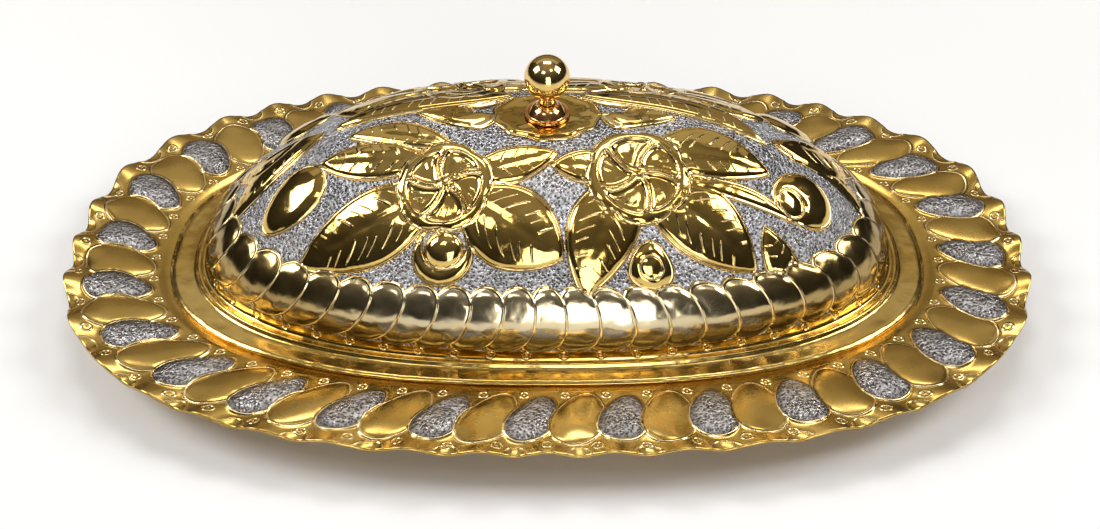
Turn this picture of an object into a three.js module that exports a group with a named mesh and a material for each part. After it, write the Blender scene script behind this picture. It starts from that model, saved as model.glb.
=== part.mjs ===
// Oval brass serving tray with a fluted rim and a domed lift-off lid.
// Millimetres, +Z up, long axis along X, origin at the centre of the flat underside.
//
// The tray and the lid are each one pressed sheet. The knob is a turned ball with a
// short neck, standing on a copper foot, and a screw from inside the dome holds the
// stack together over a flat washer.
import * as THREE from "three";

// ---- Driving dimensions -----------------------------------------------------------
const GAP = 0.3; // clearance between pieces that touch
const TRAY_SHEET = 1.2;
const LID_SHEET = 1.0;

// Ovals are superellipses: half length a, half width b, squareness n.
const RIM = { a: 210, b: 126, n: 2.45, z: 22 };
const RIM_WAVES = 40; // even flutes round the edge, a multiple of 4 keeps the box square
const WAVE_RISE = 2.6; // height of a flute above and below the mean rim
const WAVE_REACH = 1.0; // how far a crest stands out from the mean outline
const LEDGE = { outerA: 167, outerB: 85.6, innerA: 151, innerB: 70, z: 17.2 };
const BASE = { a: 136, b: 55, n: 2.4 };

const FLANGE = { a: 166, b: 84.5, z: LEDGE.z + GAP + LID_SHEET };
const DOME = { a: 148.5, b: 71, n: 2.3, z: 26, height: 65.5 };
const DOME_LEVELS = [0, 0.16, 0.32, 0.48, 0.62, 0.75, 0.86, 0.93, 0.975];
const CROWN = { a: 22, b: 12, seatRadius: 11 }; // flat boss that the foot stands on

const SCREW = { radius: 2.0, headRadius: 4.2, headHeight: 2.6, engagement: 9 };
const WASHER = { radius: 6.5, height: 1.0 };
const FOOT = { radius: 9.5, height: 5.3, buttonRadius: 7.4 };
const NECK = { radius: 3.5, length: 3.6 };
const BALL_RADIUS = 9.4;

const RIM_SEGMENTS = RIM_WAVES * 4;
const LID_SEGMENTS = 64;
const ROUND_SEGMENTS = 24;

const HOLE_RADIUS = SCREW.radius + GAP;
const CROWN_Z = DOME.z + DOME.height - 0.3;

// ---- Colours ----------------------------------------------------------------------
const BRASS = { color: 0xb8892f, roughness: 0.3, metalness: 1.0 };
const POLISHED_BRASS = { color: 0xc79a3a, roughness: 0.12, metalness: 1.0 };
const COPPER = { color: 0xb8703c, roughness: 0.15, metalness: 1.0 };
const STEEL = { color: 0xa8a8a4, roughness: 0.35, metalness: 1.0 };

// ---- Ovals and sheets -------------------------------------------------------------
function ovalPoint({ a, b, n }, angle) {
  const c = Math.cos(angle);
  const s = Math.sin(angle);
  const x = a * Math.sign(c) * Math.abs(c) ** (2 / n);
  const y = b * Math.sign(s) * Math.abs(s) ** (2 / n);
  return new THREE.Vector2(x, y);
}

// Parameter angles whose points lie at equal steps of length round the oval.
function evenAngles(oval, count) {
  const fine = 7200;
  const lengths = [0];
  let last = ovalPoint(oval, 0);
  for (let i = 1; i <= fine; i += 1) {
    const point = ovalPoint(oval, (2 * Math.PI * i) / fine);
    lengths.push(lengths[i - 1] + point.distanceTo(last));
    last = point;
  }
  const angles = [];
  let i = 0;
  for (let k = 0; k < count; k += 1) {
    const target = (lengths[fine] * k) / count;
    while (lengths[i + 1] <= target) i += 1;
    const part = (target - lengths[i]) / (lengths[i + 1] - lengths[i]);
    angles.push((2 * Math.PI * (i + part)) / fine);
  }
  return angles;
}

// One ring of points at a station of the section. flute is the station's share of the
// rim's waves, from 0, none, to 1 at the edge.
function stationRing(station, angles) {
  const flute = station.flute ?? 0;
  return angles.map((angle, k) => {
    const wave = flute * Math.cos((2 * Math.PI * RIM_WAVES * k) / angles.length);
    const reach = WAVE_REACH * wave;
    const oval = { a: station.a + reach, b: station.b + reach, n: station.n };
    const point = ovalPoint(oval, angle);
    return new THREE.Vector3(point.x, point.y, station.z + WAVE_RISE * wave);
  });
}

// The slope of the section at a station, from its neighbours, in radians.
function slopeAt(stations, i) {
  const before = stations[Math.max(i - 1, 0)];
  const after = stations[Math.min(i + 1, stations.length - 1)];
  return Math.atan2(after.z - before.z, after.a - before.a);
}

// The other face of a sheet: each station moves square to the section by the thickness.
function underside(stations, thickness) {
  return stations.map((station, i) => {
    const slope = station.flat ? 0 : slopeAt(stations, i);
    const inset = thickness * Math.sin(slope);
    return {
      ...station,
      a: station.a + inset,
      b: station.b + inset,
      z: station.z - thickness * Math.cos(slope),
    };
  });
}

// A closed body from rings in order: over the upper face from the middle out, then back
// under. A sheet with no hole closes with a fan at the middle of each face.
function sheetGeometry(rings, hasHole) {
  const size = rings[0].length;
  const positions = rings.flat().flatMap((point) => point.toArray());
  const index = [];
  const bands = hasHole ? rings.length : rings.length - 1;
  for (let r = 0; r < bands; r += 1) {
    const inner = r * size;
    const outer = ((r + 1) % rings.length) * size;
    for (let k = 0; k < size; k += 1) {
      const next = (k + 1) % size;
      index.push(inner + k, outer + k, outer + next);
      index.push(inner + k, outer + next, inner + next);
    }
  }
  if (!hasHole) {
    const top = positions.length / 3;
    const last = (rings.length - 1) * size;
    positions.push(0, 0, rings[0][0].z);
    positions.push(0, 0, rings[rings.length - 1][0].z);
    for (let k = 0; k < size; k += 1) {
      const next = (k + 1) % size;
      index.push(top, k, next);
      index.push(top + 1, last + next, last + k);
    }
  }
  const geometry = new THREE.BufferGeometry();
  geometry.setAttribute("position", new THREE.Float32BufferAttribute(positions, 3));
  geometry.setIndex(index);
  geometry.computeVertexNormals();
  return geometry;
}

function sheetFromStations(stations, thickness, angles, hasHole) {
  const lower = underside(stations, thickness).reverse();
  const rings = [...stations, ...lower].map((station) => stationRing(station, angles));
  return sheetGeometry(rings, hasHole);
}

// ---- Tray: one sheet, from the middle of the well out to the fluted edge ----------
function trayGeometry() {
  const n = RIM.n;
  const stations = [
    { ...BASE, z: TRAY_SHEET, flat: true },
    { a: 141, b: 60, n: BASE.n, z: 3.4 },
    { a: 147, b: 66, n: BASE.n, z: 15 },
    { a: LEDGE.innerA, b: LEDGE.innerB, n: BASE.n, z: LEDGE.z, flat: true },
    { a: LEDGE.outerA, b: LEDGE.outerB, n, z: LEDGE.z, flat: true },
    { a: 170.5, b: 88.8, n, z: 18.6 },
    { a: 191, b: 108, n, z: 20.4, flute: 0.3 },
    { a: RIM.a - WAVE_REACH, b: RIM.b - WAVE_REACH, n, z: RIM.z, flat: true, flute: 1 },
  ];
  return sheetFromStations(stations, TRAY_SHEET, evenAngles(RIM, RIM_SEGMENTS), false);
}

// ---- Lid: one sheet, from the screw hole down the dome to the flange --------------
// The dome is a half ellipse across, and flatter along the top and steeper at the ends
// lengthwise. level runs from 0 at its foot to 1 at the crown.
function domeStation(level) {
  return {
    a: DOME.a * (1 - level ** 1.2) ** (1 / 3.2),
    b: DOME.b * Math.sqrt(1 - level ** 2),
    n: DOME.n + (2 - DOME.n) * level,
    z: DOME.z + DOME.height * level,
  };
}

function lidGeometry() {
  const round = { n: 2, z: CROWN_Z, flat: true };
  const n = 2.4;
  const stations = [
    { ...round, a: HOLE_RADIUS, b: HOLE_RADIUS },
    { ...round, a: CROWN.seatRadius, b: CROWN.seatRadius },
    { ...round, a: CROWN.a, b: CROWN.b },
    ...DOME_LEVELS.map(domeStation).reverse(),
    { a: 150.2, b: 72.5, n, z: 21.8 },
    { a: 153.6, b: 75.5, n, z: 19.6 },
    { a: 156.6, b: 78, n, z: 20.8 },
    { a: 160, b: 80.6, n, z: FLANGE.z, flat: true },
    { a: FLANGE.a, b: FLANGE.b, n: RIM.n, z: FLANGE.z, flat: true },
  ];
  return sheetFromStations(stations, LID_SHEET, evenAngles(DOME, LID_SEGMENTS), true);
}

// ---- Knob stack -------------------------------------------------------------------
const FOOT_Z = CROWN_Z + GAP;
const NECK_Z = FOOT_Z + FOOT.height + GAP;
const BALL_Z = NECK_Z + NECK.length + BALL_RADIUS - 0.7;
const BORE_TOP = NECK_Z + SCREW.engagement;
const WASHER_Z = CROWN_Z - LID_SHEET - GAP - WASHER.height;
const HEAD_Z = WASHER_Z - GAP - SCREW.headHeight;

function turned(profile) {
  return new THREE.LatheGeometry(profile, ROUND_SEGMENTS).rotateX(Math.PI / 2);
}

function point(radius, height) {
  return new THREE.Vector2(radius, height);
}

// Ball and neck in one turned piece, with a blind bore for the screw.
function ballGeometry() {
  const profile = [point(0, BORE_TOP), point(HOLE_RADIUS, BORE_TOP)];
  profile.push(point(HOLE_RADIUS, NECK_Z), point(NECK.radius, NECK_Z));
  const start = Math.asin(NECK.radius / BALL_RADIUS);
  const steps = 10;
  for (let i = 0; i <= steps; i += 1) {
    const angle = start + ((Math.PI - start) * i) / steps;
    const radius = i < steps ? BALL_RADIUS * Math.sin(angle) : 0;
    profile.push(point(radius, BALL_Z - BALL_RADIUS * Math.cos(angle)));
  }
  return turned(profile);
}

// Button-shaped foot with a thin lip round its base.
function footGeometry() {
  const z = FOOT_Z;
  const top = z + FOOT.height;
  return turned([
    point(HOLE_RADIUS, z),
    point(FOOT.radius - 0.4, z),
    point(FOOT.radius, z + 0.6),
    point(FOOT.radius - 0.4, z + 1.2),
    point(FOOT.buttonRadius + 0.6, z + 1.3),
    point(FOOT.buttonRadius - 0.4, z + 2.6),
    point(FOOT.buttonRadius - 2.2, z + 4.2),
    point(NECK.radius, top),
    point(HOLE_RADIUS, top),
    point(HOLE_RADIUS, z),
  ]);
}

function washerGeometry() {
  const top = WASHER_Z + WASHER.height;
  return turned([
    point(HOLE_RADIUS, WASHER_Z),
    point(WASHER.radius, WASHER_Z),
    point(WASHER.radius, top),
    point(HOLE_RADIUS, top),
    point(HOLE_RADIUS, WASHER_Z),
  ]);
}

// Round-headed screw, head down inside the dome.
function screwGeometry() {
  const headTop = HEAD_Z + SCREW.headHeight;
  const tip = BORE_TOP - GAP;
  return turned([
    point(0, HEAD_Z),
    point(SCREW.headRadius * 0.6, HEAD_Z + 0.3),
    point(SCREW.headRadius, HEAD_Z + 1.4),
    point(SCREW.headRadius, headTop),
    point(SCREW.radius, headTop),
    point(SCREW.radius, tip),
    point(0, tip),
  ]);
}

// ---- Assembly ---------------------------------------------------------------------
function piece(name, geometry, finish) {
  const mesh = new THREE.Mesh(geometry, new THREE.MeshStandardMaterial(finish));
  mesh.name = name;
  return mesh;
}

const lid = new THREE.Group();
lid.add(piece("lid_dome", lidGeometry(), POLISHED_BRASS));
lid.add(piece("knob_ball", ballGeometry(), POLISHED_BRASS));
lid.add(piece("knob_foot", footGeometry(), COPPER));
lid.add(piece("knob_washer", washerGeometry(), BRASS));
lid.add(piece("knob_screw", screwGeometry(), STEEL));

const servingTray = new THREE.Group();
servingTray.add(piece("tray", trayGeometry(), BRASS));
servingTray.add(lid);

export default servingTray;
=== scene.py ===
"""Looks for the covered oval serving tray: pressed and chased brass, part of it silvered.

The tray and the lid are each one sheet of brass. Their meshes follow the sections of the
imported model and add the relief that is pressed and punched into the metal. Sizes here are
millimetres in the frame's axes; a mesh is scaled to metres when it is made.
"""

import math

import bpy
import numpy as np
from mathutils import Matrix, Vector


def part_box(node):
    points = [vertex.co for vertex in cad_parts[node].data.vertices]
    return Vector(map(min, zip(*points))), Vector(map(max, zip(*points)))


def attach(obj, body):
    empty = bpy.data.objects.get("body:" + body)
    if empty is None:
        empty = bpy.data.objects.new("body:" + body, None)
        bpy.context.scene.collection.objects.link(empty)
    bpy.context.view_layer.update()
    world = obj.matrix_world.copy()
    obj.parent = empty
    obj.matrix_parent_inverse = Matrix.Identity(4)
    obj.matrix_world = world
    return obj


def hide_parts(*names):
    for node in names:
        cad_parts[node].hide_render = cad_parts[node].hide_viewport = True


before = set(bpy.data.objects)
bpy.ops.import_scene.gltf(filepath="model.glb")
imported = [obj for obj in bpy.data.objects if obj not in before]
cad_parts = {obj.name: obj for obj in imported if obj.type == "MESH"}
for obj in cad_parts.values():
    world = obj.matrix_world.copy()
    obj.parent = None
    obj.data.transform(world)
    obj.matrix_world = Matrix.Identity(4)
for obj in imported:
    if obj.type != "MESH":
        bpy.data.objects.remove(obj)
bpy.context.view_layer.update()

MM = 0.001


# ---- Sizes from the frame -----------------------------------------------------------
def box_mm(node):
    low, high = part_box(node)
    return np.array(low) / MM, np.array(high) / MM


_, tray_high = box_mm("tray")
lid_low, lid_high = box_mm("lid_dome")
ball_low, ball_high = box_mm("knob_ball")
foot_low, foot_high = box_mm("knob_foot")
washer_low, washer_high = box_mm("knob_washer")
screw_low, screw_high = box_mm("knob_screw")

# Tray section. The rim's waves stay just inside the tray's box.
TRAY_SHEET = 1.2
RIM_N = 2.45
RIM_WAVES = 40
WAVE_RISE = 2.4
WAVE_REACH = 0.9
SIDE_CLEARANCE = 0.12
TOP_CLEARANCE = 0.1
RIM_A = tray_high[0] - WAVE_REACH - SIDE_CLEARANCE
RIM_B = tray_high[1] - WAVE_REACH - SIDE_CLEARANCE
RIM_Z = tray_high[2] - WAVE_RISE - TOP_CLEARANCE
WELL_Z = 1.2
BASE_ROWS = 4  # rows of the mesh on the flat base

# The band of lobes runs from the rim in to the ledge.
BAND_INSET_A, BAND_INSET_B = 38.5, 36.2
BAND_A, BAND_B, BAND_Z = RIM_A - BAND_INSET_A, RIM_B - BAND_INSET_B, 18.6
BAND_WIDTH = 38.0
BAND_MIDDLE_SHARE = 0.885  # length round the lobes' middles, over the rim's length

# Lid section: a flange, a bead, a cove and the dome, which is cut flat at the crown.
LID_SHEET = 1.0
FLANGE_A, FLANGE_B = lid_high[0], lid_high[1]
FLANGE_Z = lid_low[2] + LID_SHEET
CROWN_Z = lid_high[2]
CROWN_CUT = 0.3
DOME_A, DOME_B, DOME_N, DOME_Z = FLANGE_A - 17.5, FLANGE_B - 13.5, 2.3, 26.0
DOME_HEIGHT = CROWN_Z + CROWN_CUT - DOME_Z
CROWN = (21.8, 16.2)
HOLE_RADIUS = 2.3

# Ornament: counts, and how far the band of scales swells out.
LOBE_PAIRS = 28
SCALES = 50
BAND_SWELL = 4.0

# Points round the finest rows of each sheet.
FINE_TRAY = 1400
FINE_LID = 736

# Distances that stand for well outside and well inside an outline.
FAR = 30.0
INSIDE = -9.0

# How near its axis a solid turned piece's profile runs.
NEAR_AXIS = 0.05


# ---- Ovals and charts ---------------------------------------------------------------
def oval(a, b, n, angles):
    """Points of the superellipse with half axes a, b and squareness n."""
    c, s = np.cos(angles), np.sin(angles)
    x = a * np.sign(c) * np.abs(c) ** (2 / n)
    y = b * np.sign(s) * np.abs(s) ** (2 / n)
    return x, y


def even_angles(a, b, n, count):
    """Parameter angles of points at equal steps of length round the oval."""
    fine = np.linspace(0, 2 * np.pi, 14401)
    x, y = oval(a, b, n, fine)
    length = np.r_[0, np.cumsum(np.hypot(np.diff(x), np.diff(y)))]
    targets = length[-1] * np.arange(count) / count
    return np.interp(targets, length, fine), length[-1]


# The dome at a level from 0 at its foot to 1 at its top: half axes and squareness.
def dome_a(level):
    return DOME_A * np.clip(1 - level**1.2, 0, None) ** (1 / 3.2)


def dome_b(level):
    return DOME_B * np.sqrt(np.clip(1 - level**2, 0, None))


def dome_n(level):
    return DOME_N + (2 - DOME_N) * level


def crest_level(x):
    """Level of the dome's crest line at a distance x from the middle."""
    return (1 - np.clip(np.abs(x) / DOME_A, 0, 1) ** 3.2) ** (1 / 1.2)


class DomeChart:
    """Unrolls the dome: p runs along the crest, q is the way down across it, in mm."""

    def __init__(self, columns=240, rows=240):
        self.x = np.linspace(0, DOME_A, columns)
        crest_z = DOME_Z + DOME_HEIGHT * crest_level(self.x)
        self.p = np.r_[0, np.cumsum(np.hypot(np.diff(self.x), np.diff(crest_z)))]
        self.share = np.sin(np.linspace(0, np.pi / 2, rows))
        table = []
        for x in self.x:
            level = crest_level(x) * self.share
            inside = 1 - (x / np.maximum(dome_a(level), 1e-6)) ** dome_n(level)
            y = dome_b(level) * np.clip(inside, 0, None) ** (1 / dome_n(level))
            y[-1] = 0
            z = DOME_HEIGHT * level
            down = np.r_[0, np.cumsum(np.hypot(np.diff(y), np.diff(z)))]
            table.append(down[-1] - down)
        self.q = np.array(table)

    def __call__(self, x, y, z):
        level = np.clip((z - DOME_Z) / DOME_HEIGHT, 0, 1)
        share = np.clip(level / np.maximum(crest_level(x), 1e-6), 0, 1)
        column = np.interp(np.abs(x), self.x, np.arange(len(self.x)))
        row = np.interp(share, self.share, np.arange(len(self.share)))
        i = np.minimum(column.astype(int), len(self.x) - 2)
        j = np.minimum(row.astype(int), len(self.share) - 2)
        u, v = column - i, row - j
        low = self.q[i, j] * (1 - u) + self.q[i + 1, j] * u
        high = self.q[i, j + 1] * (1 - u) + self.q[i + 1, j + 1] * u
        q = low * (1 - v) + high * v
        return np.sign(x) * np.interp(np.abs(x), self.x, self.p), np.sign(y) * q


# ---- Relief -------------------------------------------------------------------------
def ease(x):
    """0 to 1 with a smooth start and end."""
    x = np.clip(x, 0, 1)
    return x * x * (3 - 2 * x)


def bump(distance, width):
    """1 at no distance, dying away over about width."""
    return np.exp(-((distance / width) ** 2))


def ellipse_distance(x, y, rx, ry):
    """About the distance to an ellipse, in mm, negative inside."""
    k0 = np.hypot(x / rx, y / ry)
    k1 = np.maximum(np.hypot(x / rx**2, y / ry**2), 1e-6)
    return k0 * (k0 - 1) / k1


class Relief:
    """Height over the plain sheet, with signed distances to the chased outlines.

    A distance is negative inside. Shapes that cross are kept in different layers, so each
    distance passes evenly through zero and the material can draw a line finer than the mesh.
    strokes holds a running count across fine marks, how far they show, and their spacing.
    petals holds how far a point lies inside a petal, and is large where there is none.
    """

    def __init__(self, shape, layers):
        self.height = np.zeros(shape)
        self.layers = {name: np.full(shape, FAR) for name in layers}
        self.strokes = np.zeros(shape + (3,))
        self.petals = np.full(shape, -INSIDE)

    def stamp(self, layer, distance, height, strokes=None, petals=None):
        inside = distance < 0
        self.height = np.where(inside, height, self.height)
        self.layers[layer] = np.minimum(self.layers[layer], distance)
        marks = np.zeros(3) if strokes is None else strokes
        self.strokes = np.where(inside[..., None], marks, self.strokes)
        if petals is not None:
            self.petals = np.where(inside, petals, self.petals)


def soften(height):
    """Blurs a height by one step each way; its columns run round an oval."""
    across = (np.roll(height, 1, 1) + 2 * height + np.roll(height, -1, 1)) / 4
    padded = np.vstack([across[:1], across, across[-1:]])
    return (padded[:-2] + 2 * padded[1:-1] + padded[2:]) / 4


def leaf(p, q, base, tip, left, right, bend=0.0, widest=0.45, blunt=0.75):
    """A pointed leaf with a faint midrib and fine raised veins on each half.

    left and right are the widths of its halves, seen from base to tip.
    """
    along_x, along_y = tip[0] - base[0], tip[1] - base[1]
    length = math.hypot(along_x, along_y)
    ux, uy = along_x / length, along_y / length
    t = ((p - base[0]) * ux + (q - base[1]) * uy) / length
    across = (q - base[1]) * ux - (p - base[0]) * uy
    across = across - bend * 4 * t * (1 - t)
    power = math.log(0.5) / math.log(widest)
    profile = np.sin(np.pi * np.clip(t, 0, 1) ** power) ** blunt
    width = np.where(across > 0, left, right) * profile
    beyond = np.maximum(np.maximum(-t, t - 1), 0) * length
    edge_slope = 0.93
    side = edge_slope * (np.abs(across) - width)
    distance = np.where(beyond > 0, np.hypot(beyond, np.abs(across)), side)
    share = np.clip(np.abs(across) / np.maximum(width, 0.5), 0, 1)
    rise = 0.4 + 0.05 * (left + right)
    swell = rise * (1 - share**2) ** 0.6 * (0.4 + 0.6 * profile)
    border = 0.35 * bump(distance + 1.3, 0.9)
    height = 0.6 * ease(-distance / 1.6) + swell + border
    height = height - 0.3 * bump(across, 1.4) * profile
    spacing = 5.6
    count = (t * length - 0.35 * np.abs(across) - 0.04 * across**2) / spacing
    count = count + 0.16 * np.sin(2.1 * count + base[0])
    inner = 0.24 + 0.08 * np.sin(1.7 * count)
    # The veins keep clear of the midrib, the edge, the base and the tip.
    window = ease((share - inner) / 0.1) * ease((0.72 - share) / 0.1) * ease(width / 4 - 0.7)
    window = 0.75 * window * ease((t - 0.2) / 0.08) * ease((0.88 - t) / 0.08)
    return distance, height, np.stack([count, window, np.full_like(t, spacing)], -1)


def flower(p, q, centre, radius, turn):
    """Five sunken, swirled petals with rounded ridges between them, in a scalloped ring."""
    x, y = p - centre[0], q - centre[1]
    rho, angle = np.hypot(x, y), np.arctan2(y, x)
    edge = radius * (0.90 + 0.10 * np.abs(np.sin(2.5 * (angle + turn))) ** 0.6)
    distance = rho - edge
    inner = 0.83 * radius
    swirl = (angle + turn + 0.7 * rho / radius) * 5 / (2 * np.pi)
    cell = swirl - np.floor(swirl)
    side = np.minimum(cell, 1 - cell) * 2 * np.pi / 5 * rho
    end = inner - rho
    depth = side + end - np.hypot(side, end)
    petal = 2.1 - 1.3 * ease((depth - 0.6) / 1.3) + 0.5 * ease((depth - 2.4) / 3.4)
    share = np.clip((rho - inner) / np.maximum(edge - inner, 0.5), 0, 1)
    ring = 0.5 + 1.6 * np.sqrt(1 - share**2)
    height = np.where(rho < inner, petal, ring) + 0.7 * bump(rho, 2.0)
    spacing = 2.6
    reach = rho / radius
    window = ease((reach - 0.50) / 0.06) * ease((0.70 - reach) / 0.06)
    window = window * ease((cell - 0.22) / 0.04) * ease((0.60 - cell) / 0.04)
    marks = np.stack([cell * 5.5, 0.35 * window, np.full_like(rho, spacing)], -1)
    return distance, height, marks, depth - 0.9


def ball(p, q, centre, radius, rise):
    """A round bud."""
    distance = np.hypot(p - centre[0], q - centre[1]) - radius
    share = np.clip(1 + distance / radius, 0, 1)
    return distance, 0.4 + rise * np.sqrt(1 - share**2)


def crescent(p, q, centre, radius, hollow_centre, hollow_radius):
    """A disc less a smaller disc toward one side."""
    outer = np.hypot(p - centre[0], q - centre[1]) - radius
    hollow = hollow_radius - np.hypot(p - hollow_centre[0], q - hollow_centre[1])
    distance = np.maximum(outer, hollow)
    return distance, 0.4 + 1.2 * np.sqrt(np.clip(-distance / 2.2, 0, 1))


def drop(p, q, centre, long, short, lean, taper=0.3, rise=1.9):
    """A rounded drop with an inner line, its narrow end along lean, in degrees."""
    c, s = math.cos(math.radians(lean)), math.sin(math.radians(lean))
    x = (p - centre[0]) * c + (q - centre[1]) * s
    y = -(p - centre[0]) * s + (q - centre[1]) * c
    wide = short * (1 - taper * np.clip(x / long, -1, 1))
    distance = ellipse_distance(x, y, long, wide)
    swell = np.sqrt(np.clip(1 - (x / long) ** 2 - (y / wide) ** 2, 0, 1))
    groove = bump(distance + 2.1, 0.8)
    return distance, 0.5 * ease(-distance / 1.4) + rise * swell - 0.4 * groove


def crest_leaves(relief, p, q):
    """The leaves along the crest: two by the crown, and a long one behind each."""
    chased_leaves = [
        # base, tip, width of each half, bend, widest place
        ((-14, 14), (-90, 4), 9, 9, -5, 0.45),
        ((14, 14), (92, -5), 9, 8.6, 7.5, 0.45),
        ((-16, -4), (-54, 3.2), 7, 7, 0, 0.4),
        ((16, -2), (53, -0.5), 7, 7, 0, 0.4),
    ]
    for base, tip, left, right, bend, widest in chased_leaves:
        relief.stamp("leaf", *leaf(p, q, base, tip, left, right, bend, widest))


def motifs(relief, p, q):
    """The leaves, flowers and buds of one side of the lid."""
    chased_leaves = [
        # base, tip, width of each half, bend, widest place
        ((-95, 3), (-146, -16), 5.5, 13, 0, 0.5),
        ((-38, -19), (-83, -5), 4.5, 8, -1, 0.5),
        ((-46, -25), (-95, -15.5), 9, 8, 0, 0.5),
        ((-42, -38), (-103, -56), 17, 14, 2, 0.48),
        ((-36, -40), (6, -68), 15, 18, 1, 0.52),
        ((-33, -32), (4, -23), 8, 8, -1, 0.5),
        ((31, -30), (2, -29), 7, 8, 0, 0.5),
        ((30, -36), (14.5, -83), 14, 13, -2, 0.4),
        ((38, -36), (85, -64), 15, 16, 2, 0.48),
        ((38, -24), (92, -21), 15, 9, 2, 0.5),
        ((54, -34), (103, -38), 3.4, 3.4, 2.5, 0.5),
        ((107, -64), (89, -45), 9, 8, 2, 0.4),
        ((104, -8), (150, -14), 7, 4, 7, 0.5),
    ]
    for base, tip, left, right, bend, widest in chased_leaves:
        relief.stamp("leaf", *leaf(p, q, base, tip, left, right, bend, widest))
    relief.stamp("leaf", *crescent(p, q, (-41.5, -65), 11.8, (-41, -61), 9.4))
    relief.stamp("leaf", *drop(p, q, (-108, -26.5), 16.5, 11.5, 200, 0.15))
    relief.stamp("leaf", *drop(p, q, (108.5, -26.5), 15.5, 11, 200, 0.1))
    relief.stamp("leaf", *drop(p, q, (41.3, -69), 9.4, 8.4, 92, 0.3))
    relief.stamp("bloom", *ball(p, q, (101.5, -31), 5.8, 1.8))
    relief.stamp("bloom", *ball(p, q, (-41.2, -63), 7.2, 2.4))
    relief.stamp("bloom", *ball(p, q, (41.5, -69.5), 4.6, 1.5))
    relief.stamp("bloom", *flower(p, q, (-41, -36.5), 19.5, 0.4))
    relief.stamp("bloom", *flower(p, q, (36.5, -32), 21.0, 2.1))


def wrapped(value, period):
    """value brought within half a period of zero."""
    return (value / period + 0.5) % 1.0 * period - 0.5 * period


def punch_marks(x, y):
    """Offsets from a punch mark's middle, and 1 close to the mark."""
    near = np.hypot(x, y) < 5.2
    return np.stack([x * near, y * near, near.astype(float)], -1)


def scale_band(relief, around, up, pitch, swell):
    """Overlapping scales on a rounded band; each lies over the one on its right.

    swell is how far the band stands out. Returns where the outlines of the even scales
    show, and where those of the odd ones do.
    """
    middle, half_height, half_width = 13.2, 14.4, 0.60 * pitch
    across_power, up_power = 2.1, 3.4
    y = up - middle
    slant = 2.2 * y / half_height - 3.0 * (y / half_height) ** 2
    xs, distances = [], []
    for name, first in (("even", 0.5), ("odd", 1.5)):
        x = wrapped(around - slant - first * pitch, 2 * pitch)
        u, v = np.abs(x / half_width), np.abs(y / half_height)
        level = u**across_power + v**up_power
        slope = np.hypot(across_power * u ** (across_power - 1) / half_width,
                         up_power * v ** (up_power - 1) / half_height)
        distance = (level - 1) / np.maximum(slope, 0.5 / half_height)
        relief.layers[name] = distance
        xs.append(x)
        distances.append(distance)
    even_over = xs[0] > xs[1]
    even_owns = (distances[0] < 0) & (even_over | (distances[1] >= 0))
    owner_x = np.where(even_owns, xs[0], xs[1]) / half_width
    inside = np.minimum(*distances)
    height = (0.8 + 0.22 * owner_x - 0.12 * owner_x**2) * ease(-inside / 1.8)
    relief.height = np.where(inside < 0, height, relief.height)
    swell_middle, swell_reach = 11.4, 16.4
    share = np.clip((up - swell_middle) / swell_reach, -1, 1)
    relief.height = relief.height + swell * (1 - share**2)
    relief.strokes = np.where((inside < 0)[..., None], 0.0, relief.strokes)
    even_shown = ~((distances[1] < 0) & ~even_over)
    odd_shown = ~((distances[0] < 0) & even_over)
    return even_shown, odd_shown


def rim_lobes(relief, along, out, pitch, stretch):
    """Pairs of ovoid lobes on the tray's band; each lies over the one before it.

    stretch keeps the lobes' width where the band curves. Returns where the brass outlines
    show, where the silvered ones do, and where brass lies on top.
    """
    # The lobes curl round as they near the well.
    curl = 9.0 * np.clip(1 - out / BAND_WIDTH, 0, 1.1) ** 1.7
    middle_out = 17.0
    y = out - middle_out
    xs, distances, heights = [], [], []
    kinds = (
        # layer, place in the pitch, half width, half length, taper, rise
        ("brass", 0.25, 10.5, 15.4, 0.16, 1.5),
        ("silver", 0.75, 9.6, 13.8, 0.22, 2.8),
    )
    for name, place, half_width, half_length, taper, rise in kinds:
        x = wrapped(along - curl - place * pitch, pitch) * stretch
        wide = half_width * (1 + taper * np.clip(y / half_length, -1, 1))
        distance = ellipse_distance(x, y, wide, half_length)
        swell = np.sqrt(np.clip(1 - (x / wide) ** 2 - (y / half_length) ** 2, 0, 1))
        relief.layers[name] = distance
        xs.append(x)
        distances.append(distance)
        heights.append(0.25 + rise * swell)
    brass_over = xs[0] < xs[1]
    brass_owns = (distances[0] < 0) & (brass_over | (distances[1] >= 0))
    silver_owns = (distances[1] < 0) & ~brass_owns
    relief.height = np.where(brass_owns, heights[0], relief.height)
    relief.height = np.where(silver_owns, heights[1], relief.height)
    brass_shown = ~((distances[1] < 0) & ~brass_over)
    silver_shown = ~((distances[0] < 0) & brass_over)
    return brass_shown, silver_shown, brass_over


# ---- Sheet meshes -------------------------------------------------------------------
def curve_through(stations, counts):
    """Rows of a section that passes smoothly through the stations (a, b, n, z)."""
    points = np.array(stations, float)
    ends = np.vstack([2 * points[0] - points[1], points, 2 * points[-1] - points[-2]])
    rows = []
    for i, count in enumerate(counts):
        p0, p1, p2, p3 = ends[i : i + 4]
        t = (np.arange(count) / count)[:, None]
        square = 2 * p0 - 5 * p1 + 4 * p2 - p3
        cube = 3 * p1 - p0 - 3 * p2 + p3
        rows.append(0.5 * (2 * p1 + (p2 - p0) * t + square * t**2 + cube * t**3))
    rows.append(points[-1:])
    return np.vstack(rows)


def grid_points(rows, angles):
    """Points of each row (a, b, n, z) at each angle."""
    a, b, n, z = (rows[:, i : i + 1] for i in range(4))
    x, y = oval(a, b, n, angles[None, :])
    return np.stack([x, y, np.broadcast_to(z, x.shape)], -1)


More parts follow.
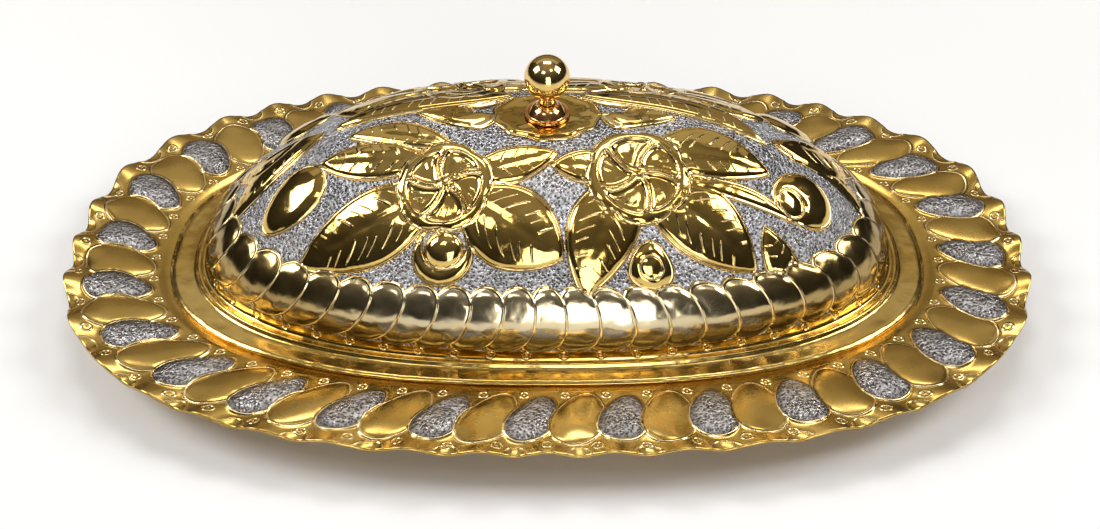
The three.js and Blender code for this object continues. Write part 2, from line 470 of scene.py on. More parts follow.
def grid_normals(points):
    """Unit normals of a grid whose columns run round an oval."""
    down = np.gradient(points, axis=0)
    along = np.roll(points, -1, 1) - np.roll(points, 1, 1)
    normal = np.cross(down, along)
    return normal / np.maximum(np.linalg.norm(normal, axis=-1, keepdims=True), 1e-9)


def stitched_faces(starts, counts, closed):
    """Faces between rows of points; a row may have half or twice its neighbour's count."""
    quads, triangles = [], []
    pairs = [(i, i + 1) for i in range(len(counts) - 1)]
    if closed:
        pairs.append((len(counts) - 1, 0))
    for i, j in pairs:
        a, b, n, m = starts[i], starts[j], counts[i], counts[j]
        if n == m:
            k = np.arange(n)
            next_k = (k + 1) % n
            quads.append(np.stack([a + k, b + k, b + next_k, a + next_k], 1))
        elif m == 2 * n:
            k = np.arange(n)
            next_k = (k + 1) % n
            next_b = (2 * k + 2) % m
            triangles.append(np.stack([a + k, b + 2 * k, b + 2 * k + 1], 1))
            triangles.append(np.stack([a + k, b + 2 * k + 1, a + next_k], 1))
            triangles.append(np.stack([a + next_k, b + 2 * k + 1, b + next_b], 1))
        else:
            k = np.arange(m)
            next_k = (k + 1) % m
            next_a = (2 * k + 2) % n
            triangles.append(np.stack([a + 2 * k, b + k, a + 2 * k + 1], 1))
            triangles.append(np.stack([a + 2 * k + 1, b + k, b + next_k], 1))
            triangles.append(np.stack([a + 2 * k + 1, b + next_k, a + next_a], 1))
    return quads, triangles


def placed(name, data):
    """A new object in the scene that holds the mesh, light or camera."""
    made = bpy.data.objects.new(name, data)
    bpy.context.scene.collection.objects.link(made)
    return made


def make_object(name, points, quads, triangles, attributes):
    """A smooth-shaded object; attributes holds one number or vector for each point."""
    faces = [f for block in quads + triangles for f in block.tolist()]
    mesh = bpy.data.meshes.new(name)
    mesh.from_pydata((points * MM).tolist(), [], faces)
    mesh.shade_smooth()
    for key, values in attributes.items():
        if values.ndim == 1:
            layer = mesh.attributes.new(key, "FLOAT", "POINT")
            layer.data.foreach_set("value", values.astype(np.float32))
        else:
            layer = mesh.attributes.new(key, "FLOAT_VECTOR", "POINT")
            layer.data.foreach_set("vector", values.astype(np.float32).ravel())
    return placed(name, mesh)


def sheet_object(name, top, steps, under, under_steps, attributes, has_hole):
    """One closed sheet: the top grid from the middle out, then the under grid back in.

    steps say how many columns each row skips, so fine rows are only where they're needed.
    attributes holds each one's values on the top grid and its one value elsewhere.
    """
    points, starts, counts, total = [], [], [], 0
    gathered = {key: [] for key in attributes}
    for grid, skips, is_top in ((top, steps, True), (under, under_steps, False)):
        for i, row in enumerate(grid):
            kept = row[:: skips[i]]
            points.append(kept)
            starts.append(total)
            counts.append(len(kept))
            total += len(kept)
            for key, (values, plain) in attributes.items():
                below = np.full((len(kept),) + values.shape[2:], plain)
                gathered[key].append(values[i][:: skips[i]] if is_top else below)
    quads, triangles = stitched_faces(starts, counts, has_hole)
    if not has_hole:
        for row, start, count, up in ((top[0], 0, counts[0], True),
                                      (under[-1], starts[-1], counts[-1], False)):
            points.append(row[:1] * (0, 0, 1))
            k = np.arange(count)
            fan = np.stack([np.full(count, total), start + k, start + (k + 1) % count], 1)
            triangles.append(fan if up else fan[:, ::-1])
            total += 1
            for key, (values, plain) in attributes.items():
                gathered[key].append(np.full((1,) + values.shape[2:], plain))
    merged = {key: np.concatenate(rows) for key, rows in gathered.items()}
    return make_object(name, np.vstack(points), quads, triangles, merged)


# ---- Tray ---------------------------------------------------------------------------
def tray_rows():
    """Rows of the tray's top from the middle to the band, and across the band."""
    well = [
        # half axes, squareness and height of the base, the well's wall and the ledge
        (60, 24, 2.2, WELL_Z),
        (136, 55, 2.4, WELL_Z),
        (141.5, 60.5, 2.4, 4.0),
        (146.6, 65.6, 2.4, 14.6),
        (151, 70, 2.4, 17.2),
        (159, 77.8, 2.42, 17.2),
        (167, 85.6, 2.45, 17.2),
        (BAND_A, BAND_B, RIM_N, BAND_Z),
    ]
    band = [
        (BAND_A, BAND_B, RIM_N, BAND_Z),
        (BAND_A + 20, BAND_B + 18.6, RIM_N, BAND_Z + 1.6),
        (RIM_A, RIM_B, RIM_N, RIM_Z),
    ]
    well_rows = curve_through(well, [3, 3, 4, 3, 2, 2, 2])[:-1]
    well_rows[:BASE_ROWS, 3] = WELL_Z
    return well_rows, curve_through(band, [24, 24])


def rim_waves(out, rim_length):
    """How far each point is pinched up or down, and its distance from a crease.

    The waves aren't quite even, and die away across the band. A crease curves round each dip.
    """
    flute = ease((out - 20) / 20) ** 1.5
    turn = 2 * np.pi * np.arange(FINE_TRAY) / FINE_TRAY
    phase = RIM_WAVES * turn + 0.5 * np.sin(8 * turn)
    wave = np.cos(phase) * (0.85 + 0.15 * np.cos(4 * turn))
    crease_out, crease_radius = 39.0, 5.6
    crease_x = wrapped(phase - np.pi, 2 * np.pi) * rim_length / (2 * np.pi * RIM_WAVES)
    return flute * wave, np.hypot(crease_x, out - crease_out) - crease_radius


def make_tray():
    angles, rim_length = even_angles(RIM_A, RIM_B, RIM_N, FINE_TRAY)
    well_rows, band_rows = tray_rows()
    rows = np.vstack([well_rows, band_rows])
    plain = grid_points(rows, angles)

    # Distance out across the band, and along its middle.
    out = np.zeros(plain.shape[:2])
    first = len(well_rows)
    steps_out = np.linalg.norm(np.diff(plain[first:], axis=0), axis=-1)
    out[first + 1 :] = np.cumsum(steps_out, axis=0)
    out *= BAND_WIDTH / np.maximum(out[-1], 1e-6)
    out[:first] = -FAR
    on_band = out > -FAR
    middle_length = BAND_MIDDLE_SHARE * rim_length
    along = np.broadcast_to(np.arange(FINE_TRAY) / FINE_TRAY * middle_length, out.shape)
    pitch = middle_length / LOBE_PAIRS

    relief = Relief(out.shape, ("brass", "silver"))
    spacing = np.linalg.norm(np.roll(plain, -1, 1) - plain, axis=-1)
    stretch = np.sqrt(spacing * FINE_TRAY / middle_length)
    shown = rim_lobes(relief, along, out, pitch, stretch)
    punched_rows = ((2.2, 0.22), (33.0, 0.0))  # distance out, place in the pitch
    punch = np.zeros(out.shape + (3,))
    for row_out, place in punched_rows:
        punch += punch_marks(wrapped(along - place * pitch, 0.5 * pitch), out - row_out)

    # The waves lift the edge and sway it outward.
    waves, crease = rim_waves(out, rim_length)
    height = soften(relief.height + 0.4 * bump(crease, 1.1) * on_band) * on_band
    radial = plain[..., :2] / np.linalg.norm(plain[..., :2], axis=-1, keepdims=True)
    sway = np.dstack([WAVE_REACH * radial, np.full(out.shape, WAVE_RISE)]) * waves[..., None]
    normal = grid_normals(plain)
    top = plain + normal * height[..., None] + sway

    # The back of the sheet follows the front with shallower relief. The base is flat.
    under = plain + normal * (0.6 * height - TRAY_SHEET)[..., None] + sway
    under[:BASE_ROWS, :, 2] = 0.0

    # All columns on the band, every second just inside it, every fourth further in.
    near_band_row = 16
    steps = [1 if i >= first else (2 if i >= near_band_row else 4) for i in range(len(rows))]
    coarse = list(range(len(rows) - 1, first, -3)) + list(range(first - 1, -1, -1))
    under_steps = [2 if i > first else 4 for i in coarse]
    under_steps[0] = 1
    layers = relief.layers
    away = np.where(on_band, 0.0, FAR)[..., None]
    outlines = np.stack([layers["brass"], layers["silver"], crease], -1)
    attributes = {
        "lobes": (outlines + away, FAR),
        "shown": (np.stack(shown, -1).astype(float), 0.0),
        "punch": (punch, 0.0),
    }
    tray = sheet_object("tray_sheet", top, steps, under[coarse], under_steps, attributes,
                        has_hole=False)
    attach(tray, "tray")
    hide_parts("tray")
    return tray


# ---- Lid ----------------------------------------------------------------------------
def lid_rows():
    """Rows of the lid's top on the crown, on the dome's flatter part and side, and below."""
    # The crest flattens toward the crown, so rows are closer in height up there.
    crown_level, shoulder_level = 0.986, 0.84
    crest_a = np.linspace(dome_a(crown_level), dome_a(shoulder_level), 51)[:-1]
    side_levels = np.sin(np.linspace(np.arcsin(shoulder_level), 0, 71))
    flat_rows, side_rows = (
        np.stack([dome_a(level), dome_b(level), dome_n(level), DOME_Z + DOME_HEIGHT * level], 1)
        for level in (crest_level(crest_a), side_levels)
    )
    hole = np.array([HOLE_RADIUS, HOLE_RADIUS, 2.0, CROWN_Z])
    crown_rows = hole + (flat_rows[0] - hole) * np.linspace(0, 1, 25)[:-1, None]
    foot = [
        # half axes, squareness and height of the cove, the bead and the flange
        (DOME_A, DOME_B, DOME_N, DOME_Z),
        (DOME_A + 0.9, DOME_B + 0.8, 2.32, 22.4),
        (DOME_A + 2.6, DOME_B + 2.2, 2.35, 19.9),
        (DOME_A + 5.2, DOME_B + 4.2, 2.4, 20.6),
        (DOME_A + 7.6, DOME_B + 6.0, 2.4, FLANGE_Z + 0.1),
        (FLANGE_A, FLANGE_B, 2.45, FLANGE_Z),
    ]
    return crown_rows, flat_rows, side_rows, curve_through(foot, [6, 5, 4, 4, 3])[1:]


def chase_lid(relief, plain):
    """Stamps the leaves, flowers and buds, and the rosette that the knob stands on."""
    x, y, z = plain[..., 0], plain[..., 1], plain[..., 2]
    p, q = DomeChart()(x, y, z)
    motifs(relief, p, q)
    motifs(relief, -p, -q)
    crest_leaves(relief, p, q)
    turn = np.arctan2(y / CROWN[1], x / CROWN[0])
    crown_edge = ellipse_distance(x, y, *CROWN) - 0.45 * np.cos(11 * turn)
    rosette = (CROWN_Z - z) * ease(-crown_edge / 2.5) + 0.5 * bump(crown_edge + 1.8, 1.0)
    relief.stamp("bloom", crown_edge, np.maximum(rosette, 0))


def make_lid():
    angles, foot_length = even_angles(DOME_A, DOME_B, DOME_N, FINE_LID)
    blocks = lid_rows()
    flat_row, side_row, foot_row = np.cumsum([len(block) for block in blocks[:3]])
    last_dome = foot_row - 1
    rows = np.vstack(blocks)
    plain = grid_points(rows, angles)
    normal = grid_normals(plain)

    # Up the meridian from the dome's foot, negative below it; and round the foot.
    steps_up = np.linalg.norm(np.diff(plain, axis=0), axis=-1)
    run = np.vstack([np.zeros((1, FINE_LID)), np.cumsum(steps_up, axis=0)])
    up = run[last_dome] - run
    around = np.broadcast_to(np.arange(FINE_LID) / FINE_LID * foot_length, up.shape)
    pitch = foot_length / SCALES

    relief = Relief(up.shape, ("leaf", "bloom", "even", "odd"))
    chase_lid(relief, plain)
    swell = BAND_SWELL * (0.35 + 0.65 * np.clip(np.abs(plain[..., 1]) / DOME_B, 0, 1))
    shown = scale_band(relief, around, up, pitch, swell)

    # Below the dome the sheet is plain brass, as it is inside a leaf.
    layers = relief.layers
    layers["leaf"] = np.where(up > -1.0, layers["leaf"], INSIDE)
    punch = punch_marks(wrapped(around + 0.05 * pitch, pitch), up + 3.8)
    height = soften(relief.height)
    top = plain + normal * height[..., None]
    under_foot = np.hypot(plain[..., 0], plain[..., 1]) < 12
    top[..., 2] = np.where(under_foot, np.minimum(top[..., 2], CROWN_Z), top[..., 2])
    under = plain - normal * LID_SHEET
    under[0, :, 2] = CROWN_Z - LID_SHEET

    # All columns on the dome's side, fewer as they close up toward the hole.
    steps = [1 if i >= side_row else (2 if i >= flat_row else 4) for i in range(len(rows))]
    steps[0] = 8
    coarse = list(range(len(rows) - 1, last_dome, -2)) + list(range(last_dome, 0, -4)) + [0]
    under_fine_row = 111
    under_steps = [4 if i >= under_fine_row else 8 for i in coarse]
    under_steps[0] = 2
    zero = np.zeros_like(up)
    attributes = {
        "edges": (np.stack([layers["leaf"], layers["bloom"], up], -1), INSIDE),
        "scales": (np.stack([layers["even"], layers["odd"], zero], -1), FAR),
        "shown": (np.stack([*shown, zero], -1).astype(float), 0.0),
        "strokes": (relief.strokes, 0.0),
        "petals": (relief.petals, -INSIDE),
        "punch": (punch, 0.0),
    }
    lid = sheet_object("lid_sheet", top, steps, under[coarse], under_steps, attributes,
                       has_hole=True)
    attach(lid, "lid")
    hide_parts("lid_dome")
    return lid


# ---- Turned pieces ------------------------------------------------------------------
def turned_object(name, profile, segments=96):
    """A turned piece from its profile of (radius, height) points, closed on itself."""
    profile = np.array(profile, float)
    angles = np.arange(segments) / segments * 2 * np.pi
    rings = [
        np.stack([r * np.cos(angles), r * np.sin(angles), np.full(segments, z)], 1)
        for r, z in profile
    ]
    starts = [i * segments for i in range(len(rings))]
    quads, triangles = stitched_faces(starts, [segments] * len(rings), True)
    return make_object(name, np.vstack(rings), quads, triangles, {})


def rounded(points, steps=5):
    """A profile with each corner (r, z, radius) rounded off."""
    out = []
    for i, (r, z, radius) in enumerate(points):
        here = np.array([r, z])
        if radius <= 0:
            out.append(here)
            continue
        before = np.array(points[i - 1][:2]) - here
        after = np.array(points[(i + 1) % len(points)][:2]) - here
        start = here + before / np.linalg.norm(before) * radius
        end = here + after / np.linalg.norm(after) * radius
        for t in np.linspace(0, 1, steps):
            out.append((1 - t) ** 2 * start + 2 * t * (1 - t) * here + t**2 * end)
    return out


def make_knob():
    """Ball with its neck, and the copper foot."""
    radius = (ball_high[0] - ball_low[0]) / 2
    centre = ball_high[2] - radius
    bottom, bore, neck = ball_low[2], HOLE_RADIUS, 3.5
    bore_top = bottom + 8.7
    profile = [(bore, bore_top), (bore, bottom + 0.4), (bore + 0.3, bottom)]
    profile += [(neck - 0.5, bottom), (neck, bottom + 0.5), (neck - 0.25, bottom + 1.6)]
    start = math.asin((neck + 0.3) / radius)
    profile.append((neck - 0.1, centre - radius * math.cos(start) - 0.6))
    for angle in np.linspace(start, math.pi - 0.012, 60):
        profile.append((radius * math.sin(angle), centre - radius * math.cos(angle)))
    profile.append((NEAR_AXIS, centre + radius))
    profile.append((NEAR_AXIS, bore_top))
    ball = turned_object("knob_ball_turned", profile)
    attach(ball, "lid")
    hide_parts("knob_ball")

    low, high, lip = foot_low[2], foot_high[2], foot_high[0]
    foot = turned_object("knob_foot_turned", rounded([
        (HOLE_RADIUS, low, 0.2),
        (lip, low, 0.5),
        (lip, low + 1.25, 0.55),
        (lip - 1.5, low + 1.0, 0.4),
        (lip - 2.3, low + 2.2, 1.0),
        (lip - 4.0, low + 4.4, 1.4),
        (neck + 0.3, high - 0.25, 0.5),
        (neck - 0.1, high, 0.15),
        (HOLE_RADIUS, high, 0.2),
    ]))
    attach(foot, "lid")
    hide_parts("knob_foot")
    return ball, foot


def make_fastener():
    """Flat washer, and a round-headed screw with a slot, inside the dome."""
    low, high, outer = washer_low[2], washer_high[2], washer_high[0]
    washer = turned_object("knob_washer_stamped", rounded([
        (HOLE_RADIUS, low, 0.15),
        (outer, low, 0.25),
        (outer, high, 0.1),
        (HOLE_RADIUS, high, 0.15),
    ]))
    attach(washer, "lid")
    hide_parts("knob_washer")

    low, high, head = screw_low[2], screw_high[2], screw_high[0]
    head_top = low + 2.6
    shank, thread_pitch, thread_depth = 2.0, 0.7, 0.28
    profile = [(NEAR_AXIS, low + 0.02)]
    for angle in np.linspace(0.1, math.pi / 2, 12):
        profile.append((head * math.sin(angle), head_top - 0.7 - 1.9 * math.cos(angle)))
    profile += [(head, head_top - 0.1), (head - 0.1, head_top), (shank, head_top)]
    z = head_top + 1.0
    while z < high - 1.2:
        profile += [(shank, z), (shank - thread_depth, z + thread_pitch / 2)]
        z += thread_pitch
    profile += [(shank, high - 0.6), (shank - 0.5, high), (NEAR_AXIS, high)]
    screw = turned_object("knob_screw_slotted", profile)

    # The slot is cut right across the head.
    cutter = bpy.data.meshes.new("slot_cutter")
    half_long, half_wide, deep = head + 1.0, 0.55, 1.1
    corners = [
        (x, y, z)
        for z in (low - 1.0, low + deep)
        for y in (-half_wide, half_wide)
        for x in (-half_long, half_long)
    ]
    cutter.from_pydata((np.array(corners) * MM).tolist(), [], [
        (0, 2, 3, 1), (4, 5, 7, 6), (0, 1, 5, 4), (2, 6, 7, 3), (0, 4, 6, 2), (1, 3, 7, 5),
    ])
    cutter_object = placed("slot_cutter", cutter)
    cut = screw.modifiers.new("slot", "BOOLEAN")
    cut.operation = "DIFFERENCE"
    cut.solver = "EXACT"
    cut.object = cutter_object
    applied = bpy.data.meshes.new_from_object(
        screw.evaluated_get(bpy.context.evaluated_depsgraph_get())
    )
    screw.modifiers.clear()
    screw.data = applied
    bpy.data.objects.remove(cutter_object)
    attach(screw, "lid")
    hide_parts("knob_screw")
    return washer, screw


# ---- Materials ----------------------------------------------------------------------
class Nodes:
    """Short calls for building one material's nodes."""

    def __init__(self, name):
        self.material = bpy.data.materials.new(name)
        self.material.use_nodes = True
        self.tree = self.material.node_tree
        self.shader = self.tree.nodes["Principled BSDF"]
        self.place = self.tree.nodes.new("ShaderNodeTexCoord").outputs["Object"]

    def new(self, kind, **inputs):
        """A node of a kind, with some of its inputs set."""
        node = self.tree.nodes.new("ShaderNode" + kind)
        for name, value in inputs.items():
            node.inputs[name].default_value = value
        return node

    def link(self, value, socket):
        if isinstance(value, (int, float)):
            socket.default_value = value
        elif isinstance(value, tuple):
            socket.default_value = value if len(value) == 4 else (*value, 1.0)
        else:
            self.tree.links.new(value, socket)

    def math(self, operation, *values):
        node = self.new("Math")
        node.operation = operation
        for value, socket in zip(values, node.inputs):
            self.link(value, socket)
        return node.outputs[0]

    def plus(self, first, second):
        return self.math("ADD", first, second)

    def times(self, first, second):
        return self.math("MULTIPLY", first, second)

    def most(self, first, second):
        return self.math("MAXIMUM", first, second)

    def least(self, first, second):
        return self.math("MINIMUM", first, second)

    def ramp(self, value, low, high, to_low=0.0, to_high=1.0):
        """value eased from low..high to to_low..to_high."""
        node = self.new("MapRange")
        node.interpolation_type = "SMOOTHSTEP"
        for given, socket in zip((value, low, high, to_low, to_high), node.inputs):
            self.link(given, socket)
        return node.outputs[0]

    def mix(self, share, first, second):
        node = self.new("Mix")
        node.data_type = "RGBA"
        self.link(share, node.inputs["Factor"])
        self.link(first, node.inputs[6])
        self.link(second, node.inputs[7])
        return node.outputs[2]

    def attribute(self, name, output="Fac"):
        node = self.new("Attribute")
        node.attribute_name = name
        return node.outputs[output]

    def scaled(self, x, y, z):
        """The place in the object, scaled along each axis."""
        node = self.new("Mapping", Scale=(x, y, z))
        self.link(self.place, node.inputs["Vector"])
        return node.outputs[0]

    def noise(self, scale, detail=2.0, vector=None):
        node = self.new("TexNoise", Scale=scale, Detail=detail, Roughness=0.5)
        self.link(vector or self.place, node.inputs["Vector"])
        return node.outputs["Fac"]

    def cells(self, scale):
        node = self.new("TexVoronoi", Scale=scale)
        self.link(self.place, node.inputs["Vector"])
        return node.outputs["Distance"]

    def relief(self, layers):
        """Bumps from (height, depth in mm) layers, one over the other."""
        below = None
        for height, depth in layers:
            node = self.new("Bump", Distance=depth * MM)
            self.link(height, node.inputs["Height"])
            if below is not None:
                self.link(below, node.inputs["Normal"])
            below = node.outputs["Normal"]
        self.link(below, self.shader.inputs["Normal"])

    def finish(self, colour, roughness, metallic=1.0):
        self.link(colour, self.shader.inputs["Base Color"])
        self.link(roughness, self.shader.inputs["Roughness"])
        self.shader.inputs["Metallic"].default_value = metallic
        return self.material

    def parts(self, vector):
        """The three numbers of a vector."""
        node = self.new("SeparateXYZ")
        self.link(vector, node.inputs[0])
        return node.outputs

    def split(self, name):
        """The three numbers of a vector attribute."""
        return self.parts(self.attribute(name, "Vector"))

    def ridge(self, distance, half_width):
        """1 on an outline, falling to 0 at half_width from it."""
        return self.ramp(self.math("ABSOLUTE", distance), 0.0, half_width, 1.0, 0.0)

    def punched_ring(self):
        """A small ring with a dot in it at each punch mark."""
        x, y, near = self.split("punch")
        square = self.plus(self.math("POWER", x, 2.0), self.math("POWER", y, 2.0))
        distance = self.math("SQRT", square)
        radius, dot_radius = 1.75, 0.6
        ring = self.ridge(self.math("SUBTRACT", distance, radius), 0.65)
        mark = self.most(ring, self.ramp(distance, 0.0, dot_radius, 0.8, 0.0))
        return self.times(mark, self.math("GREATER_THAN", near, 0.99))


def stippled_silver(nodes, dark, light):
    """Height of the matting punch's marks, and the colour of the silvered metal."""
    pits = nodes.cells(880.0)
    grain = nodes.noise(1500.0, 3.0)
    height = nodes.plus(pits, nodes.times(grain, 0.5))
    shade = nodes.ramp(height, 0.35, 0.95)
    return height, nodes.mix(shade, dark, light)


# Pale gold painted on the chased outlines, punch marks and creases: a painted highlight.
LINE_HIGHLIGHT_COLOUR = (0.98, 0.80, 0.46)


def tray_material():
    nodes = Nodes("tray_brass")
    height, silver_colour = stippled_silver(nodes, (0.045, 0.038, 0.035), (0.50, 0.48, 0.48))
    brass_edge, silver_edge, crease = nodes.split("lobes")
    brass_shown, silver_shown, brass_over = nodes.split("shown")
    inside = nodes.ramp(silver_edge, -0.6, -0.2, 1.0, 0.0)
    covered = nodes.times(nodes.ramp(brass_edge, 0.1, 0.5, 1.0, 0.0), brass_over)
    silver = nodes.times(inside, nodes.math("SUBTRACT", 1.0, covered))
    brass_line = nodes.times(nodes.ridge(brass_edge, 0.75), brass_shown)
    silver_line = nodes.times(nodes.ridge(silver_edge, 0.75), silver_shown)
    line = nodes.most(nodes.most(brass_line, silver_line), nodes.punched_ring())
    line = nodes.most(line, nodes.times(nodes.ridge(crease, 0.6), 0.6))
    cloud = nodes.ramp(nodes.noise(26.0, 4.0), 0.3, 0.7)
    brass = nodes.mix(cloud, (0.52, 0.330, 0.080), (0.64, 0.430, 0.125))
    # The silvering gets painted shade, darker toward each lobe's edge where its dome curves
    # away.
    painted_shade = nodes.ramp(silver_edge, -4.2, -0.6, 0.0, 0.6)
    silver_colour = nodes.mix(painted_shade, silver_colour, (0.07, 0.055, 0.045))
    colour = nodes.mix(silver, brass, silver_colour)
    # Painted highlight along the outlines, punch marks and creases.
    colour = nodes.mix(nodes.times(line, 0.85), colour, LINE_HIGHLIGHT_COLOUR)
    rough = nodes.ramp(nodes.noise(75.0, 3.0), 0.3, 0.7, 0.20, 0.29)
    rough = nodes.plus(rough, nodes.times(silver, 0.04))
    wrinkles = nodes.times(nodes.noise(210.0, 3.0), silver)
    nodes.relief([
        (nodes.noise(45.0, 1.0), 0.5),
        (nodes.noise(150.0, 1.0), 0.07),
        (wrinkles, 1.1),
        (nodes.times(height, silver), 0.45),
        (line, 0.4),
    ])
    return nodes.finish(colour, rough)


def lid_material():
    nodes = Nodes("lid_brass")
    height, silver_colour = stippled_silver(nodes, (0.030, 0.028, 0.030), (0.58, 0.58, 0.61))
    leaf_edge, bloom_edge, up = nodes.split("edges")
    even_edge, odd_edge, _ = nodes.split("scales")
    even_shown, odd_shown, _ = nodes.split("shown")
    scale_edge = nodes.least(even_edge, odd_edge)
    above_scales = nodes.ramp(scale_edge, -0.3, 0.2)
    clear_of_bloom = nodes.ramp(bloom_edge, 0.0, 0.4)
    leaf_line = nodes.times(nodes.ridge(leaf_edge, 0.65), clear_of_bloom)
    motif_line = nodes.most(leaf_line, nodes.ridge(bloom_edge, 0.65))
    motif_line = nodes.times(motif_line, above_scales)
    even_line = nodes.times(nodes.ridge(even_edge, 0.85), even_shown)
    odd_line = nodes.times(nodes.ridge(odd_edge, 0.85), odd_shown)
    line = nodes.most(motif_line, nodes.most(even_line, odd_line))
    line = nodes.most(line, nodes.punched_ring())
    count, window, spacing = nodes.split("strokes")
    off = nodes.math("SUBTRACT", nodes.math("FRACT", count), 0.5)
    stroke = nodes.ridge(nodes.times(off, spacing), 0.6)
    line = nodes.most(line, nodes.times(stroke, window))
    in_bloom = nodes.ramp(bloom_edge, 0.0, -0.5)
    petal_line = nodes.times(nodes.ridge(nodes.attribute("petals"), 0.5), in_bloom)
    line = nodes.most(line, petal_line)
    motif_edge = nodes.least(leaf_edge, bloom_edge)
    ground = nodes.ramp(nodes.least(motif_edge, scale_edge), 0.6, 1.0)
    cloud = nodes.ramp(nodes.noise(30.0, 4.0), 0.3, 0.7)
    brass = nodes.mix(cloud, (0.62, 0.40, 0.10), (0.78, 0.55, 0.18))
    # The scales get a painted highlight, pale in the middle of each side, and painted shade,
    # darker toward their foot and toward the ends of the lid.
    on_scale = nodes.ramp(scale_edge, -0.5, 0.1, 1.0, 0.0)
    x, _, _ = nodes.parts(nodes.place)
    from_middle = nodes.math("ABSOLUTE", x)
    painted_highlight = nodes.ramp(from_middle, 0.045, 0.115, 0.85, 0.15)
    painted_foot_shade = nodes.ramp(up, 3.0, 15.0, 0.80, 0.0)
    painted_shade = nodes.most(painted_foot_shade, nodes.ramp(from_middle, 0.060, 0.125, 0.0, 0.55))
    brass = nodes.mix(nodes.times(on_scale, painted_highlight), brass, (0.74, 0.64, 0.43))
    brass = nodes.mix(nodes.times(on_scale, painted_shade), brass, (0.16, 0.12, 0.06))
    colour = nodes.mix(ground, brass, silver_colour)
    # Painted highlight along the outlines, punch marks, veins and petals.
    colour = nodes.mix(nodes.times(line, 0.8), colour, LINE_HIGHLIGHT_COLOUR)
    rough = nodes.ramp(nodes.noise(160.0, 3.0), 0.3, 0.7, 0.06, 0.13)
    rough = nodes.plus(rough, nodes.times(ground, 0.17))
    rough = nodes.plus(rough, nodes.times(on_scale, 0.07))
    rough = nodes.plus(rough, nodes.ramp(up, -4.0, -8.0, 0.0, 0.12))
    nodes.relief([
        (nodes.noise(90.0, 1.0), 0.75),
        (nodes.noise(240.0, 1.0), 0.10),
        (nodes.times(height, ground), 0.8),
        (line, 0.40),
    ])
    return nodes.finish(colour, rough)


def turned_material(name, dark, light, low, high):
    """Polished turned metal with faint rings from the lathe."""
    nodes = Nodes(name)
    rings = nodes.noise(40.0, 4.0, nodes.scaled(1.0, 1.0, 60.0))
    cloud = nodes.ramp(nodes.noise(150.0, 3.0), 0.3, 0.7)
    rough = nodes.ramp(rings, 0.3, 0.7, low, high)
    nodes.relief([(rings, 0.02), (nodes.noise(120.0, 2.0), 0.08)])
    return nodes.finish(nodes.mix(cloud, dark, light), rough)


def wear_material(piece, material):
    """Makes material the piece's only one."""
    piece.data.materials.clear()
    piece.data.materials.append(material)


# ---- Room ---------------------------------------------------------------------------
def make_floor():
    mesh = bpy.data.meshes.new("floor")
    half_width, drop_below = 5.0, 0.0002
    corners = [
        (-half_width, -half_width, -drop_below),
        (half_width, -half_width, -drop_below),
        (half_width, half_width, -drop_below),
        (-half_width, half_width, -drop_below),
    ]
    mesh.from_pydata(corners, [], [(0, 1, 2, 3)])
    floor = placed("floor", mesh)
    nodes = Nodes("floor_pale")
    tone = nodes.ramp(nodes.noise(3.0, 2.0), 0.3, 0.7)
    colour = nodes.mix(tone, (0.88, 0.88, 0.88), (0.91, 0.91, 0.91))
    wear_material(floor, nodes.finish(colour, 0.7, 0.0))


def add_light(name, place, target, size, power, colour):
    data = bpy.data.lights.new(name, "AREA")
    data.shape = "RECTANGLE"
    data.size, data.size_y = size
    data.energy = power
    data.color = colour
    light = placed(name, data)
    light.location = place
    light.rotation_mode = "QUATERNION"
    light.rotation_quaternion = (Vector(target) - Vector(place)).to_track_quat("-Z", "Y")
    light.visible_camera = False


def make_lights():
    middle = (0, 0, 0.05)
    white, cream, amber = (1, 1, 1), (1.0, 0.94, 0.84), (1.0, 0.80, 0.52)
    lights = [
        # name, place and size in metres, power, colour
        ("key_softbox", (-0.45, -0.75, 1.30), (0.40, 0.28), 1.5, white),
        ("fill_softbox", (0.50, -0.50, 1.45), (0.30, 0.30), 1.0, white),
        ("left_softbox", (-1.25, 0.0, 1.20), (0.70, 0.70), 14.0, white),
        ("right_softbox", (1.25, 0.0, 1.20), (0.70, 0.70), 13.0, white),
        ("top_softbox", (0.0, 0.60, 1.60), (0.80, 0.40), 6.0, white),
        ("back_panel", (0, 1.5, 1.75), (3.4, 0.9), 3.6, cream),
        ("low_back_panel", (0, 1.9, 0.85), (3.0, 0.9), 2.0, amber),
        ("front_card", (0.14, -1.3, 0.42), (0.50, 0.80), 5.2, white),
    ]
    for name, place, size, power, colour in lights:
        add_light(name, place, middle, size, power, colour)


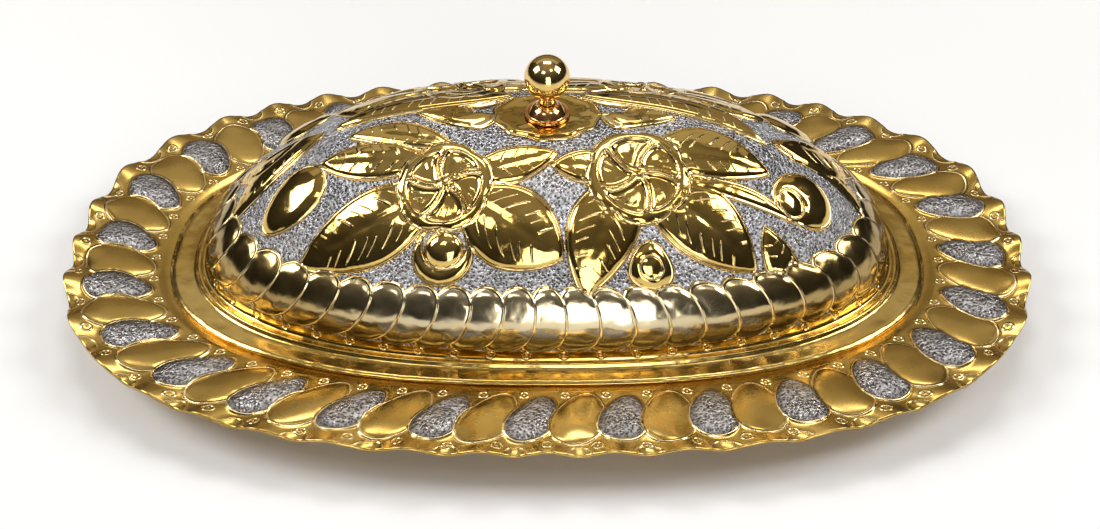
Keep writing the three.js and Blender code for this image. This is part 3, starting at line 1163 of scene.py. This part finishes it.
def make_world():
    """A dim surround, lighter overhead."""
    world = bpy.data.worlds.new("studio")
    bpy.context.scene.world = world
    world.use_nodes = True
    tree = world.node_tree
    background = tree.nodes["Background"]
    place = tree.nodes.new("ShaderNodeTexCoord")
    split = tree.nodes.new("ShaderNodeSeparateXYZ")
    ramp = tree.nodes.new("ShaderNodeValToRGB")
    tree.links.new(place.outputs["Generated"], split.inputs[0])
    tree.links.new(split.outputs["Z"], ramp.inputs["Fac"])
    stops = ramp.color_ramp.elements
    stops[0].position, stops[0].color = 0.0, (0.02, 0.02, 0.02, 1)
    stops[1].position, stops[1].color = 1.0, (0.34, 0.31, 0.27, 1)
    stops.new(0.45).color = (0.05, 0.047, 0.042, 1)
    stops.new(0.80).color = (0.15, 0.138, 0.12, 1)
    tree.links.new(ramp.outputs["Color"], background.inputs["Color"])
    background.inputs["Strength"].default_value = 1.0
    bpy.context.scene.view_settings.view_transform = "Standard"


def make_camera():
    """Looks down on the rim's middle at 40 degrees from the front."""
    elevation, distance = math.radians(40.0), 0.655
    data = bpy.data.cameras.new("camera")
    data.sensor_width = 36.0
    data.lens = 48.2727
    data.shift_x = 0.0026
    data.shift_y = -0.0204
    camera = placed("camera", data)
    target_z = RIM_Z * MM
    camera.location = (
        0.0,
        -distance * math.cos(elevation),
        target_z + distance * math.sin(elevation),
    )
    camera.rotation_euler = (math.pi / 2 - elevation, 0.0, 0.0)
    bpy.context.scene.camera = camera


# ---- Build --------------------------------------------------------------------------
make_camera()
tray = make_tray()
lid = make_lid()
ball, foot = make_knob()
washer, screw = make_fastener()
wear_material(tray, tray_material())
wear_material(lid, lid_material())
turned_finishes = [
    # piece, material, dark and light tone, lowest and highest roughness
    (ball, "knob_brass", (0.74, 0.50, 0.16), (0.86, 0.62, 0.25), 0.06, 0.12),
    (foot, "foot_copper", (0.84, 0.42, 0.15), (0.94, 0.53, 0.22), 0.08, 0.16),
    (washer, "washer_brass", (0.50, 0.36, 0.15), (0.60, 0.44, 0.20), 0.25, 0.4),
    (screw, "screw_steel", (0.42, 0.42, 0.40), (0.56, 0.55, 0.53), 0.2, 0.35),
]
for piece, *finish in turned_finishes:
    wear_material(piece, turned_material(*finish))
make_floor()
make_lights()
make_world()
